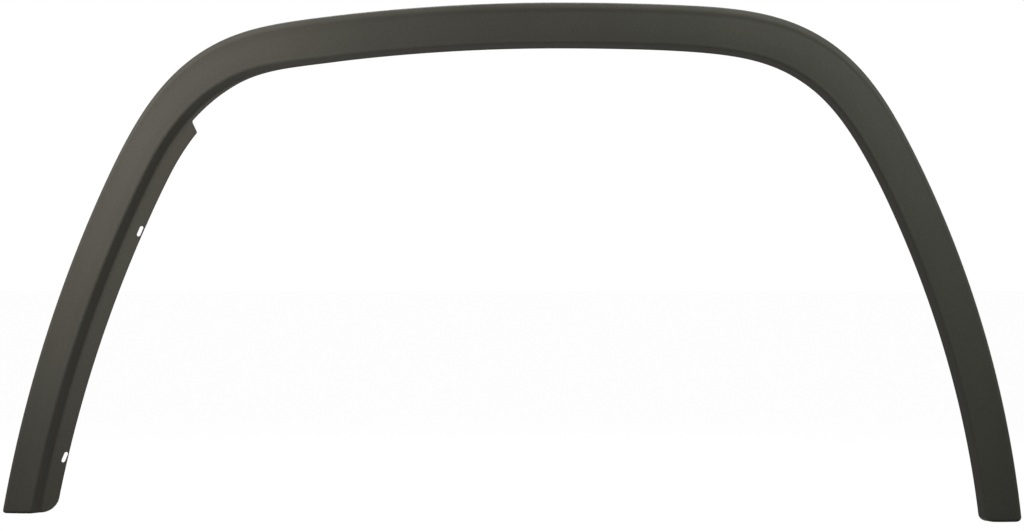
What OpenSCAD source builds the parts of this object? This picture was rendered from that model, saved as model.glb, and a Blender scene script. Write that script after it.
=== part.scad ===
// Wheel arch trim for the front wheel of a compact vehicle, moulded in one piece.
// Frame in millimetres: X along the vehicle, Y inboard, Z up. The origin is on the axis of the
// locating pin, where the pin meets the body panel. The body panel is the surface Y = 0 at the
// crown, and it falls back towards both ends of the vehicle's side.
// A place on the trim is [s, w, d]: s along the outer edge from the crown (minus is the nose
// side), w from the outer edge towards the wheel opening, and d inboard from the body panel.

/* [Outer edge, nose side] */
// Radius of the flat stretch from the crown
nose_crown_r = 1770; // [1200:10:3000]
// Radius of the leg below the shoulder
nose_leg_r = 1266; // [800:2:2500]
// Angle that the shoulder turns
nose_turn_angle = 47.2; // [40:0.1:52]
// Distance from the crown to the tightest point of the shoulder
nose_shoulder_s = 326.5; // [290:0.5:360]
// Length over which the shoulder tightens
nose_turn_in = 107.5; // [80:0.5:140]
// Length over which the shoulder opens out again
nose_turn_out = 182; // [140:1:230]
// Length of the outer edge from the crown to the foot
nose_length = 818.5; // [740:0.5:880]

/* [Outer edge, door side] */
// Radius of the flat stretch from the crown
door_crown_r = 2660; // [1800:10:4000]
// Radius of the leg below the shoulder
door_leg_r = 1003; // [700:1:2000]
// Angle that the shoulder turns
door_turn_angle = 50.1; // [42:0.1:55]
// Distance from the crown to the tightest point of the shoulder
door_shoulder_s = 250; // [220:1:290]
// Length over which the shoulder tightens
door_turn_in = 158.5; // [120:0.5:200]
// Length over which the shoulder opens out again
door_turn_out = 152.5; // [120:0.5:200]
// Length of the outer edge from the crown to the foot
door_length = 748.5; // [680:0.5:800]

/* [Body side] */
// Radius in plan on which the body side falls back
plan_r = 2200; // [1500:10:4000]
// Where the nose side starts to fall back, left of the crown
plan_start_nose = 150; // [80:5:220]
// Where the door side starts to fall back, right of the crown
plan_start_door = 255; // [180:5:320]

/* [Section] */
// Thickness of the moulding
wall = 2.5; // [2:0.1:3.5]
// Height of the face above the body panel
stand = 16; // [13:0.5:20]
// How far the face crowns between its two edges
face_crown = 1.2; // [0.4:0.1:2.5]
// Height of the rounded outer bead
bead_h = 6.5; // [5:0.1:8]
// Width of the bead across the top
bead_w_top = 6; // [4:0.1:8]
// Width of the bead on the legs
bead_w_leg = 3.4; // [3:0.1:5]
// Draft of the outer wall under the bead
rim_draft = 0.8; // [0.2:0.1:1.5]
// Width of the crease between the bead and the face
crease_w = 1.6; // [1:0.1:2.5]
// Depth of that crease
crease_d = 0.6; // [0.2:0.1:1]
// Outer radius of the roll from the face to the return wall
roll_r = 4; // [3:0.1:6]
// Slope of the return wall, away from square to the face
wall_slope_angle = 15; // [10:0.5:20]
// Straight length of the return wall
wall_len = 14; // [10:0.5:17]

/* [Width of the face, outer edge to roll] */
// At the nose foot
face_nose_foot = 24.5; // [20:0.5:30]
// Half way up the nose leg
face_nose_leg = 27; // [22:0.5:33]
// Share of the nose side's length at which that width lies
face_nose_leg_at = 0.55; // [0.45:0.01:0.66]
// At the nose shoulder
face_nose_shoulder = 31.5; // [26:0.5:38]
// At the crown
face_top = 34.5; // [29:0.5:41]
// At the door shoulder
face_door_shoulder = 36.8; // [31:0.1:44]
// Half way down the door leg
face_door_leg = 32.9; // [27:0.1:39]
// Share of the door side's length at which that width lies
face_door_leg_at = 0.55; // [0.45:0.01:0.66]
// At the door foot
face_door_foot = 30; // [25:0.5:36]

/* [Return flange of the nose leg] */
// Depth of the flange, along its own slope
flange_len = 13.8; // [12:0.1:17]
// Slope of the flange, away from square to the face
flange_slope_angle = 60; // [49:1:72]
// Distance of the flange's upper tip from the foot
tip_up = 418; // [360:2:460]
// Length over which the slanted tip is cut
tip_run = 7; // [3:0.5:14]
// Depth of the rim that goes on above the tip
rim_len = 2.6; // [2:0.1:4]
// Length over which that rim dies out
rim_run = 205; // [170:5:245]
// Length of the concave bend between the return wall and the flange
bend_len = 3; // [2:0.5:5]
// Thickness of the flange at its free edge
flange_edge_t = 1.7; // [1.4:0.1:2.4]

/* [Feet] */
// Radius of the flange's corner at the nose foot
nose_flange_corner = 14; // [10:1:17]
// Radius of the outer corner of the nose foot
nose_outer_corner = 3; // [1:0.5:6]
// Radius of the outer corner of the door foot
door_outer_corner = 5; // [3:0.5:10]
// Radius of the inner corner of the door foot
door_inner_corner = 6.5; // [5:0.5:12]
// Radius with which the face rolls over at each foot
foot_edge_r = 3; // [1:0.5:5]
// Thickness of the wall that closes each foot
end_wall = 3; // [2:0.5:5]
// How far that wall stays clear of the body panel
end_clearance = 1; // [0.5:0.1:2]
// Length over which the section planes turn level towards each foot
level_run = 70; // [50:5:100]

/* [Screw slots of the flange] */
// Width of the screw slots
screw_slot_w = 4; // [3:0.5:5]
// Length of the screw slots, along the leg
screw_slot_l = 10.5; // [8:0.5:14]
// Distance of the upper slot from the crown, along the outer edge
upper_slot_s = 522.5; // [490:0.5:560]
// Distance of the lower slot from the crown, along the outer edge
lower_slot_s = 756; // [700:1:780]
// Distance of a slot's centre from the rear edge of the flange
slot_to_edge = 3.1; // [2.5:0.1:5]

/* [Fixings on the back] */
// Distance of the locating pin from the outer edge at the crown
pin_w = 20; // [16:0.5:24]
// Diameter of the locating pin
pin_d = 6; // [4:0.5:8]
// Length of the pin's straight shank past the body panel
pin_reach = 8; // [5:0.5:14]
// Length of the pin's tapered tip
pin_tip = 2; // [1:0.5:3]
// Diameter of the pin's tip
pin_tip_d = 4; // [2:0.5:6]
// Diameter of the boss that carries the pin and rests on the body panel
boss_d = 12; // [9:0.5:14]
// Number of clip seats
seat_count = 8; // [6:1:10]
// Distance from each foot to the nearest clip seat
seat_margin = 70; // [60:5:90]
// Length of a clip seat along the trim
seat_l = 20; // [16:0.5:24]
// Width of a clip seat across the trim
seat_w = 15; // [12:0.5:17]
// Thickness of a clip seat's plate and sides
seat_t = 2; // [1.5:0.1:2.5]
// Distance from the outer edge to a clip seat
seat_inset = 7; // [6:0.5:9]
// Width of the slot that holds the clip's neck
slot_w = 8; // [6:0.5:10]
// How far a clip seat stays clear of the body panel
seat_clearance = 1.5; // [1:0.1:3]
// Thickness of the cross ribs
rib_t = 1.6; // [1.2:0.1:2.5]
// Depth of the space left between a rib and the body panel
rib_clearance = 5; // [3:0.5:8]

/* [Hidden] */

dark_plastic = [0.26, 0.26, 0.24];
eps = 0.01;
overlap = 1;

// Step of the walk along the outer edge, and the spacing of the section planes.
walk_step = 2;
plane_pitch = 24;
shoulder_pitch = 13;

// A quarter circle is drawn with this many flats.
arc_steps = 4;
face_steps = 4;
bend_steps = 2;
corner_steps = 4;

// The widths of the face change partly evenly and partly with this share of easing.
ease = 0.6;
// Share of the way to a shoulder at which the bead starts to narrow.
bead_narrows_at = 0.7;
// What is left of the flange where the wall ends plainly.
plain_lip = 0.8;
// Length over which the hidden side rises to close a foot.
end_ramp = 0.6;
// On the hidden side: the least share of the bead's width, and the inner corner's start and end.
bead_in_share = 0.3;
corner_in_start = 0.2;
corner_in_end = 0.6;

function clamp(x, low = 0, high = 1) = max(low, min(high, x));
function mix(a, b, u) = a + (b - a) * u;
function smooth(u) = let (v = clamp(u)) v * v * (3 - 2 * v);
function last(list) = list[len(list) - 1];

// Share of a shoulder's turn that is made by distance s: its curvature rises and falls as a cosine.
function share(s, peak, before, after) =
    let (
        u = clamp((s - peak + before) / before),
        v = clamp((s - peak) / after),
        rise = before * (u - sin(180 * u) / PI),
        fall = after * (v + sin(180 * v) / PI)
    )
    (rise + fall) / (before + after);

// Walks down one side from the crown. Each row is [s, x, z, heading below level].
function walk(crown_r, leg_r, turn, peak, before, after, length) = [
    for (
        s = 0, x = 0, z = 0, base = 0;
        s <= length + 2 * walk_step;
        half = share(s + walk_step / 2, peak, before, after),
        heading = base + turn * half,
        x = x + walk_step * cos(heading),
        z = z - walk_step * sin(heading),
        base = base + walk_step * (mix(1 / crown_r, 1 / leg_r, half)) * 180 / PI,
        s = s + walk_step
    )
    [s, x, z, base + turn * share(s, peak, before, after)]
];
function column(rows, k) = [for (row = rows) [row[0], row[k]]];

nose_walk = walk(nose_crown_r, nose_leg_r, nose_turn_angle, nose_shoulder_s,
    nose_turn_in, nose_turn_out, nose_length);
door_walk = walk(door_crown_r, door_leg_r, door_turn_angle, door_shoulder_s,
    door_turn_in, door_turn_out, door_length);
nose_x = column(nose_walk, 1);
nose_z = column(nose_walk, 2);
nose_heading = column(nose_walk, 3);
door_x = column(door_walk, 1);
door_z = column(door_walk, 2);
door_heading = column(door_walk, 3);

// The outer edge before the body side's bend: its place, and its heading, minus on the nose side.
function edge_x(s) = s < 0 ? -lookup(-s, nose_x) : lookup(s, door_x);
function edge_z(s) = pin_w + (s < 0 ? lookup(-s, nose_z) : lookup(s, door_z));
function edge_turn(s) = s < 0 ? -lookup(-s, nose_heading) : lookup(s, door_heading);

// Distance from the nearer foot, and the direction of a section plane, which ends level there.
function to_foot(s) = s < 0 ? nose_length + s : door_length - s;
function plane_turn(s) =
    mix(s < 0 ? -90 : 90, edge_turn(s), smooth(to_foot(s) / level_run));

// The body side is flat between the two starts and falls back on plan_r beyond them.
function plan_angle(x) =
    x < -plan_start_nose ? (-plan_start_nose - x) / plan_r * 180 / PI
    : x > plan_start_door ? (plan_start_door - x) / plan_r * 180 / PI
    : 0;
function bend(p) =
    let (
        turn = plan_angle(p[0]),
        start = turn > 0 ? -plan_start_nose : plan_start_door,
        r = plan_r - p[1]
    )
    turn == 0 ? p : [start - r * sin(turn), plan_r - r * cos(turn), p[2]];

// The point at width w and depth d on the section plane of s.
function flat_place(s, w, d) =
    let (turn = plane_turn(s), stretch = w / cos(turn - edge_turn(s)))
    [edge_x(s) - stretch * sin(turn), d, edge_z(s) - stretch * cos(turn)];
function place(s, w, d) = bend(flat_place(s, w, d));

// Sizes that change along the trim.
face_table = [
    [-nose_length, face_nose_foot],
    [-nose_length * face_nose_leg_at, face_nose_leg],
    [-nose_shoulder_s, face_nose_shoulder],
    [-nose_shoulder_s + nose_turn_in, face_top],
    [door_shoulder_s - door_turn_in, face_top],
    [door_shoulder_s, face_door_shoulder],
    [door_length * face_door_leg_at, face_door_leg],
    [door_length, face_door_foot]
];
function smooth_lookup(s, table) =
    let (
        k = max([0, for (i = [0 : len(table) - 2]) if (s >= table[i][0]) i]),
        a = table[k],
        b = table[k + 1]
    )
    mix(a[1], b[1], mix((s - a[0]) / (b[0] - a[0]), smooth((s - a[0]) / (b[0] - a[0])), ease));
function face_w(s) = smooth_lookup(s, face_table);
function bead_w(s) =
    let (shoulder = s < 0 ? nose_shoulder_s : door_shoulder_s)
    mix(bead_w_top, bead_w_leg, smooth((abs(s) - shoulder * bead_narrows_at) / shoulder));

// How much of a rounded corner of radius r is cut off at distance t from the end.
function corner(t, r) = t >= r ? 0 : r - sqrt(r * r - (r - t) * (r - t));

// Depth of the flange along the trim: full below the slanted tip, then a rim that dies out.
tip_s = -nose_length + tip_up;
function flange_part(s) =
    s < tip_s - tip_run / 2 ? 1
    : s < tip_s + tip_run / 2 ? mix(1, rim_len / flange_len, (s - tip_s) / tip_run + 0.5)
    : rim_len / flange_len * (1 - smooth((s - tip_s - tip_run / 2) / rim_run));
function flange_depth(s) =
    max(plain_lip, flange_len * flange_part(s) - (s < 0 ? corner(to_foot(s), nose_flange_corner) : 0));

// How much of the concave bend there is: all of it under the flange, none where the wall ends.
function bend_part(s) = clamp(flange_part(s) * flange_len / rim_len);

// The visible side of a section, from the rear of the outer rim to the end of the flange.
// Each row is [w, d, direction], where the direction is the angle of the surface from w.
function outside(s) =
    let (
        fw = face_w(s),
        bw = bead_w(s),
        steep = 90 - wall_slope_angle,
        back = (flange_slope_angle - wall_slope_angle) * bend_part(s),
        straight = wall_len - bend_len * (1 - bend_part(s)),
        roll_end = [fw + roll_r * sin(steep), -stand + roll_r * (1 - cos(steep))],
        wall_end = roll_end + straight * [cos(steep), sin(steep)],
        part = bend_len / bend_steps,
        bent = [
            for (
                k = 0, p = wall_end, turn = steep;
                k <= bend_steps;
                turn = steep - back * (k + 0.5) / bend_steps,
                p = p + part * [cos(turn), sin(turn)],
                k = k + 1
            )
            [p[0], p[1], steep - back * k / bend_steps]
        ],
        bend_end = last(bent),
        flange_end = [bend_end[0], bend_end[1]]
            + flange_depth(s) * [cos(bend_end[2]), sin(bend_end[2])]
    )
    concat(
        [[rim_draft, 0, -90]],
        [
            for (k = [0 : arc_steps])
                let (turn = 90 * k / arc_steps)
                [bw * (1 - cos(turn)), -stand + bead_h * (1 - sin(turn)), turn - 90]
        ],
        [[bw + crease_w / 2, -stand + crease_d, 0]],
        [
            for (k = [0 : face_steps])
                let (u = k / face_steps)
                [mix(bw + crease_w, fw, u), -stand - face_crown * sin(180 * u), 0]
        ],
        [
            for (k = [1 : arc_steps])
                let (turn = steep * k / arc_steps)
                [fw + roll_r * sin(turn), -stand + roll_r * (1 - cos(turn)), turn]
        ],
        bent,
        [[flange_end[0], flange_end[1], bend_end[2]]]
    );

// The hidden side, with one point for each point of the visible side.
function inside(s) =
    let (
        out = outside(s),
        bw = bead_w(s),
        bead_in_w = max(bw - wall, bead_in_share * bw),
        free_edge_t = mix(wall, flange_edge_t, flange_depth(s) / flange_len),
        after_bead = arc_steps + 2
    )
    [
        for (i = [0 : len(out) - 1])
            let (p = out[i])
            i == 0 ? [rim_draft + wall, 0]
            : i < after_bead
                ? let (turn = p[2] + 90)
                    [wall + bead_in_w * (1 - cos(turn)), -stand + wall + (bead_h - wall) * (1 - sin(turn))]
            : i == after_bead ? [max(p[0], wall + bead_in_w + corner_in_start), -stand + wall]
            : p[2] == 0 ? [max(p[0], wall + bead_in_w + corner_in_end), p[1] + wall]
            : let (t = i == len(out) - 1 ? free_edge_t : wall)
                [p[0] - t * sin(p[2]), p[1] + t * cos(p[2])]
    ];

// Near a foot the hidden side rises to the rear, which closes the channel with an end wall.
function end_fill(s) = clamp((end_wall + end_ramp - to_foot(s)) / end_ramp);
function filled(p, fill) = [p[0], max(p[1], mix(p[1], -end_clearance, fill))];

// At a foot the corners are rounded off, and the face rolls over.
function foot_shape(s, p) =
    let (
        t = to_foot(s),
        outer_cut = corner(t, s < 0 ? nose_outer_corner : door_outer_corner),
        inner_cut = s < 0 ? 0 : corner(t, door_inner_corner),
        full = face_w(s) + roll_r,
        rolled = (stand - corner(t, foot_edge_r)) / stand
    )
    [
        outer_cut + p[0] * (full - outer_cut - inner_cut) / full,
        p[1] < 0 ? p[1] * rolled : p[1]
    ];
function section(s) =
    let (
        out = outside(s),
        in = inside(s),
        fill = end_fill(s),
        loop = concat(
            [for (p = out) [p[0], p[1]]],
            [for (i = [len(in) - 1 : -1 : 0]) filled(in[i], fill)]
        )
    )
    [for (p = loop) foot_shape(s, p)];

// Section planes: close together at the feet, the flange's tip and the shoulders.
function run(from, to, pitch) =
    let (n = max(1, ceil(abs(to - from) / pitch - eps)))
    [for (k = [0 : n - 1]) mix(from, to, k / n)];
function foot_run(radius) = concat(
    [for (k = [0 : corner_steps - 1]) foot_edge_r * (1 - cos(90 * k / corner_steps))],
    [end_wall, end_wall + end_ramp],
    [
        for (k = [1 : corner_steps])
            let (t = radius * (1 - cos(90 * k / corner_steps)))
            if (t > end_wall + 2 * end_ramp) t
    ]
);
nose_foot = [for (t = foot_run(nose_flange_corner)) t - nose_length];
door_foot = [for (t = foot_run(door_inner_corner)) door_length - t];
shoulder_in = -nose_shoulder_s + nose_turn_in;
shoulder_out = door_shoulder_s + door_turn_out;
planes = concat(
    nose_foot,
    run(last(nose_foot) + shoulder_pitch, tip_s - 2 * tip_run, plane_pitch),
    run(tip_s - 2 * tip_run, tip_s - tip_run / 2, tip_run / 2),
    run(tip_s - tip_run / 2, tip_s + tip_run / 2, tip_run / 2),
    run(tip_s + tip_run / 2, shoulder_in, shoulder_pitch),
    run(shoulder_in, door_shoulder_s - door_turn_in, plane_pitch),
    run(door_shoulder_s - door_turn_in, shoulder_out, shoulder_pitch),
    run(shoulder_out, last(door_foot), plane_pitch),
    [for (i = [len(door_foot) - 1 : -1 : 0]) door_foot[i]]
);

// Lofts the closed sections into one shell.
module shell() {
    loops = [for (s = planes) [for (p = section(s)) place(s, p[0], p[1])]];
    rows = len(loops);
    around = len(loops[0]);
    half = around / 2;
    sides = [
        for (i = [0 : rows - 2], j = [0 : around - 1])
            let (
                a = i * around + j,
                b = i * around + (j + 1) % around,
                c = a + around,
                d = b + around
            )
            each [[a, d, b], [a, c, d]]
    ];
    caps = [
        for (j = [0 : half - 2])
            let (
                a = j,
                b = j + 1,
                c = around - 1 - j,
                d = around - 2 - j,
                end = (rows - 1) * around
            )
            each [[a, d, c], [a, b, d], [end + a, end + c, end + d], [end + a, end + d, end + b]]
    ];
    polyhedron(points = [for (loop = loops) each loop], faces = concat(sides, caps), convexity = 8);
}

// Sets its children on the body panel at [s, w]: their X runs along the trim, their Y inboard.
module on_body(s, w) {
    p = flat_place(s, w, 0);
    translate(bend(p))
        rotate([0, plane_turn(s), -plan_angle(p[0])])
            children();
}

// A seat that takes the head of a slide-in clip: a raised plate with a slot open to the roll side.
module clip_seat(s) {
    root = -stand + wall - overlap;
    top = -seat_clearance;
    on_body(s, seat_inset) {
        for (side = [-1, 1])
            translate([side * (seat_l - seat_t) / 2 - seat_t / 2, root, -seat_w])
                cube([seat_t, top - root, seat_w]);
        difference() {
            translate([-seat_l / 2, top - seat_t, -seat_w])
                cube([seat_l, seat_t, seat_w]);
            translate([-slot_w / 2, top - seat_t - eps, -seat_w - eps])
                cube([slot_w, seat_t + 2 * eps, seat_w - slot_w / 2 - seat_t]);
            translate([0, top + eps, -slot_w / 2 - seat_t])
                rotate([90, 0, 0])
                    cylinder(d = slot_w, h = seat_t + 2 * eps, $fn = 32);
        }
    }
}

// A rib across the channel, cut to the section's own hidden side.
module cross_rib(s) {
    floor = [for (p = inside(s)) if (p[1] < -rib_clearance) [p[0], p[1] - overlap / 2]];
    on_body(s, 0)
        translate([-rib_t / 2, 0, 0])
            rotate([90, 0, 90])
                linear_extrude(rib_t)
                    polygon(concat(
                        [[-rib_clearance, -floor[0][0]]],
                        [for (p = floor) [p[1], -p[0]]],
                        [[-rib_clearance, -last(floor)[0]]]
                    ));
}

// The locating pin, which fits a hole in the body panel, on a boss that rests on the panel.
module locating_pin() {
    root = -stand - face_crown + wall - overlap;
    rotate([-90, 0, 0]) {
        translate([0, 0, root])
            cylinder(d = boss_d, h = -root, $fn = 48);
        cylinder(d = pin_d, h = pin_reach, $fn = 48);
        translate([0, 0, pin_reach])
            cylinder(d1 = pin_d, d2 = pin_tip_d, h = pin_tip, $fn = 48);
    }
}

// A screw slot in the flange. One slide forms both, so both take the upper slot's direction.
function slot_spot(s) =
    let (end = last(outside(s)))
    [end[0] - slot_to_edge * cos(end[2]), end[1] - slot_to_edge * sin(end[2])];
module screw_slot(s) {
    spot = slot_spot(s);
    upper = slot_spot(-upper_slot_s);
    upper_x = flat_place(-upper_slot_s, upper[0], upper[1])[0];
    slide_angle = last(outside(-upper_slot_s))[2];
    reach = 3 * wall;
    translate(place(s, spot[0], spot[1]))
        rotate([0, plane_turn(-upper_slot_s), -plan_angle(upper_x)])
            rotate([slide_angle, 0, 0]) {
                for (side = [-1, 1])
                    translate([side * (screw_slot_l - screw_slot_w) / 2, 0, 0])
                        rotate([90, 0, 0])
                            cylinder(d = screw_slot_w, h = 2 * reach, center = true, $fn = 48);
                cube([screw_slot_l - screw_slot_w, 2 * reach, screw_slot_w], center = true);
            }
}

module arch_trim() {
    trim_length = nose_length + door_length;
    seat_pitch = (trim_length - 2 * seat_margin) / (seat_count - 1);
    color(dark_plastic) {
        difference() {
            shell();
            screw_slot(-upper_slot_s);
            screw_slot(-lower_slot_s);
        }
        for (k = [0 : seat_count - 1])
            clip_seat(-nose_length + seat_margin + k * seat_pitch);
        for (k = [0 : seat_count - 2])
            cross_rib(-nose_length + seat_margin + (k + 0.5) * seat_pitch);
        locating_pin();
    }
}

arch_trim();
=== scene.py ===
# %% [markdown]
# # A wheel arch trim, moulded in one piece
# The trim is a long hollow strip of grained charcoal plastic that follows the lip of a front
# wheel arch. Its section changes all the way along: a rounded bead on the outer edge, a soft
# valley, a gently crowned face, a roll into a steep wall, and on the nose leg a return flange
# with two screw slots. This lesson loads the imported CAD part, builds the same moulding again
# with finer curves and broken edges, gives it a moulded-plastic finish and lights it softly.

import math

import bmesh
import bpy
from mathutils import Matrix, Vector


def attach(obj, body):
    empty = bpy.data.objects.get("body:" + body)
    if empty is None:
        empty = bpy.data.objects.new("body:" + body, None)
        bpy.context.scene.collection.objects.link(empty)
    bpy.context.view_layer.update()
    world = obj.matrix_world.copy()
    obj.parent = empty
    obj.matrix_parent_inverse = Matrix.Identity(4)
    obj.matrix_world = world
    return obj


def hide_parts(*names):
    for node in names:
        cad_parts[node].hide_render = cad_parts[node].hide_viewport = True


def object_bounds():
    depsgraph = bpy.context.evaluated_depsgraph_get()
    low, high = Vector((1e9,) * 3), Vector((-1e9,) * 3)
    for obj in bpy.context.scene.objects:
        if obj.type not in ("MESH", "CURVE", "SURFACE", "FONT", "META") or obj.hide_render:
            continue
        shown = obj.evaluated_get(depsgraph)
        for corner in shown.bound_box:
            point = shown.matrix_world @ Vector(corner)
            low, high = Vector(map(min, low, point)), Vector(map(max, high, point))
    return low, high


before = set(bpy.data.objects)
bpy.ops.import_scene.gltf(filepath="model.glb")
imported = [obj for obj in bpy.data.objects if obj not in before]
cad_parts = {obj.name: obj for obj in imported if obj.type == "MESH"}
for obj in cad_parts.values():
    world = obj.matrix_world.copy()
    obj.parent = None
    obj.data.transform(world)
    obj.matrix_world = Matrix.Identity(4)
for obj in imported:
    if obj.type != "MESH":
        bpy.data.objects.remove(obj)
cad_low, cad_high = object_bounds()
print("CAD nodes:", list(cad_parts))
print("CAD box in metres:", [round(v, 4) for v in cad_low], [round(v, 4) for v in cad_high])

# %% [markdown]
# ## The camera
# The photograph looks at the trim square on, from far away, so a long lens on the level does
# the same. One pixel of the picture is 0.9325 mm at the plane of the body panel, and the
# picture is 1024 pixels wide, so the lens follows from the distance.

# %% Camera
MM = 0.001
PIXEL = 0.9325 * MM
PICTURE_WIDTH = 1024
CAMERA_DISTANCE = 3.3
CAMERA_X = -0.0439
CAMERA_Z = -0.2246
SENSOR = 36.0

bpy.ops.object.camera_add(
    location=(CAMERA_X, -CAMERA_DISTANCE, CAMERA_Z), rotation=(math.radians(90), 0, 0)
)
camera = bpy.context.object
camera.data.sensor_width = SENSOR
camera.data.lens = SENSOR * CAMERA_DISTANCE / (PIXEL * PICTURE_WIDTH)
bpy.context.scene.camera = camera
print("lens:", round(camera.data.lens, 1), "mm")

# %% [markdown]
# ## The sizes of the moulding
# These are the sizes of the CAD part, in millimetres, so that the finer piece fills the same
# space. A place on the trim is given by s, the distance along the outer edge from the crown,
# minus on the nose side; by w, the distance from the outer edge towards the wheel; and by d,
# the depth inboard from the body panel.

# %% Sizes of the outer edge, in millimetres
NOSE = dict(
    crown_r=1770, leg_r=1266, turn=47.2, shoulder=326.5, turn_in=107.5, turn_out=182, length=818.5
)
DOOR = dict(
    crown_r=2660, leg_r=1003, turn=50.1, shoulder=250, turn_in=158.5, turn_out=152.5, length=748.5
)
PLAN_R = 2200
PLAN_START_NOSE, PLAN_START_DOOR = 150, 255
PIN_W = 20
LEVEL_RUN = 70

# %% Sizes of the section, in millimetres
WALL = 2.5
STAND = 16
FACE_CROWN = 1.2
BEAD_H = 6.5
BEAD_W_TOP, BEAD_W_LEG = 6, 3.4
BEAD_HOLLOW = 0.3
BEHIND_BEAD = 0.6
RIM_DRAFT = 0.8
CREASE_W = 1.6
VALLEY_TOP, VALLEY_LEG = (7.0, 0.8), (2.6, 0.25)
FACE_LEAN = 1.35
ROLL_R = 4
WALL_SLOPE = 15
WALL_LEN = 14
FLANGE_LEN, FLANGE_SLOPE = 13.8, 60
TIP_UP, TIP_RUN = 418, 7
RIM_LEN, RIM_RUN = 2.6, 205
BEND_LEN = 3
PLAIN_LIP = 0.8
FLANGE_EDGE_T = 1.7
NOSE_FLANGE_CORNER = 14
NOSE_OUTER_CORNER, DOOR_OUTER_CORNER, DOOR_INNER_CORNER = 3, 5, 6.5
FOOT_EDGE_R = 3
UPPER_SLOT_S, LOWER_SLOT_S = -522.5, -756
END_WALL, END_RAMP, END_CLEARANCE = 3, 0.6, 1
TIP_S = TIP_UP - NOSE["length"]
MID_LEG = 0.55
FACE_WIDTHS = [
    (-NOSE["length"], 24.5),
    (-NOSE["length"] * MID_LEG, 27),
    (-NOSE["shoulder"], 31.5),
    (-NOSE["shoulder"] + NOSE["turn_in"], 34.5),
    (DOOR["shoulder"] - DOOR["turn_in"], 34.5),
    (DOOR["shoulder"], 36.8),
    (DOOR["length"] * MID_LEG, 32.9),
    (DOOR["length"], 30),
]
print("length along the outer edge:", NOSE["length"] + DOOR["length"], "mm")

# %% [markdown]
# ## The run of the outer edge
# On the real part the outer edge is two slow curves joined by a tighter shoulder on each side.
# A pen walks along it in small steps and turns as it goes: the curvature of a shoulder rises
# and falls like a cosine, which keeps reflections smooth where two arcs would show a kink.

# %% Three small helpers
def clamp(x, low=0.0, high=1.0):
    return max(low, min(high, x))


def mix(a, b, u):
    return a + (b - a) * u


def smooth(u):
    u = clamp(u)
    return u * u * (3 - 2 * u)


print("half way along an eased step:", smooth(0.5))

# %% Walk along the outer edge
WALK_STEP = 2.0


def shoulder_share(s, side):
    """Share of the shoulder's turn that is made by distance s."""
    before, after = side["turn_in"], side["turn_out"]
    u = clamp((s - side["shoulder"] + before) / before)
    v = clamp((s - side["shoulder"]) / after)
    rise = before * (u - math.sin(math.pi * u) / math.pi)
    fall = after * (v + math.sin(math.pi * v) / math.pi)
    return (rise + fall) / (before + after)


def walk(side):
    """Rows of x, z and heading below level, one for each step from the crown."""
    rows, s, x, z, base = [], 0.0, 0.0, 0.0, 0.0
    while s <= side["length"] + 2 * WALK_STEP:
        rows.append((x, z, base + side["turn"] * shoulder_share(s, side)))
        half = shoulder_share(s + WALK_STEP / 2, side)
        heading = math.radians(base + side["turn"] * half)
        x += WALK_STEP * math.cos(heading)
        z -= WALK_STEP * math.sin(heading)
        base += math.degrees(WALK_STEP * mix(1 / side["crown_r"], 1 / side["leg_r"], half))
        s += WALK_STEP
    return rows


NOSE_ROWS, DOOR_ROWS = walk(NOSE), walk(DOOR)
print("steps walked:", len(NOSE_ROWS), "and", len(DOOR_ROWS))


# %% Look up a place on the edge
def edge(s):
    """x, z and heading of the outer edge at s, before the body side falls back."""
    rows = NOSE_ROWS if s < 0 else DOOR_ROWS
    at = abs(s) / WALK_STEP
    k = min(int(at), len(rows) - 2)
    x, z, turn = (mix(a, b, at - k) for a, b in zip(rows[k], rows[k + 1]))
    return (-x if s < 0 else x), PIN_W + z, (-turn if s < 0 else turn)


print("nose foot at x, z:", [round(v, 1) for v in edge(-NOSE["length"])[:2]], "mm")
print("door foot at x, z:", [round(v, 1) for v in edge(DOOR["length"])[:2]], "mm")

# %% [markdown]
# The sections stand square to the edge, and turn level close to each foot, where the real trim
# ends in a flat cut. The body side of a vehicle falls back towards its ends, so the flat layout
# is then rolled round a large cylinder on both sides.

# %% Place a point of the trim in the room
def to_foot(s):
    return NOSE["length"] + s if s < 0 else DOOR["length"] - s


def plane_turn(s):
    return mix(-90 if s < 0 else 90, edge(s)[2], smooth(to_foot(s) / LEVEL_RUN))


def plan_angle(x):
    """How far the body side has turned back at x, in degrees."""
    if x < -PLAN_START_NOSE:
        return math.degrees((-PLAN_START_NOSE - x) / PLAN_R)
    if x > PLAN_START_DOOR:
        return math.degrees((PLAN_START_DOOR - x) / PLAN_R)
    return 0.0


def roll_back(x, y, z):
    turn = math.radians(plan_angle(x))
    if turn == 0:
        return x, y, z
    start = -PLAN_START_NOSE if turn > 0 else PLAN_START_DOOR
    r = PLAN_R - y
    return start - r * math.sin(turn), PLAN_R - r * math.cos(turn), z


def flat_place(s, w, d):
    x, z, heading = edge(s)
    turn = plane_turn(s)
    reach = w / math.cos(math.radians(turn - heading))
    turn = math.radians(turn)
    return x - reach * math.sin(turn), d, z - reach * math.cos(turn)


def place(s, w, d):
    """A point of the trim in metres."""
    return Vector(roll_back(*flat_place(s, w, d))) * MM


print("crown of the face:", [round(v, 4) for v in place(0, 20, -STAND)])

# %% [markdown]
# ## The section
# The section is one closed outline. Its visible side starts at the rear of the outer rim and
# goes round the bead, the valley, the face, the roll, the wall and the flange. Its hidden side
# comes back one wall thickness behind. The CAD part has a narrow crease beside the bead. The
# photograph shows no sharp line there, so the crease is a wide, shallow valley here, and the
# crown of the face leans a little towards the wheel. Mould makers break every free edge, so the
# four free corners are rounded, which the light needs too: a sharp edge never catches a highlight.

# %% Widths that change along the trim
WIDTH_EASE = 0.6
LEG_START = 0.7


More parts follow.
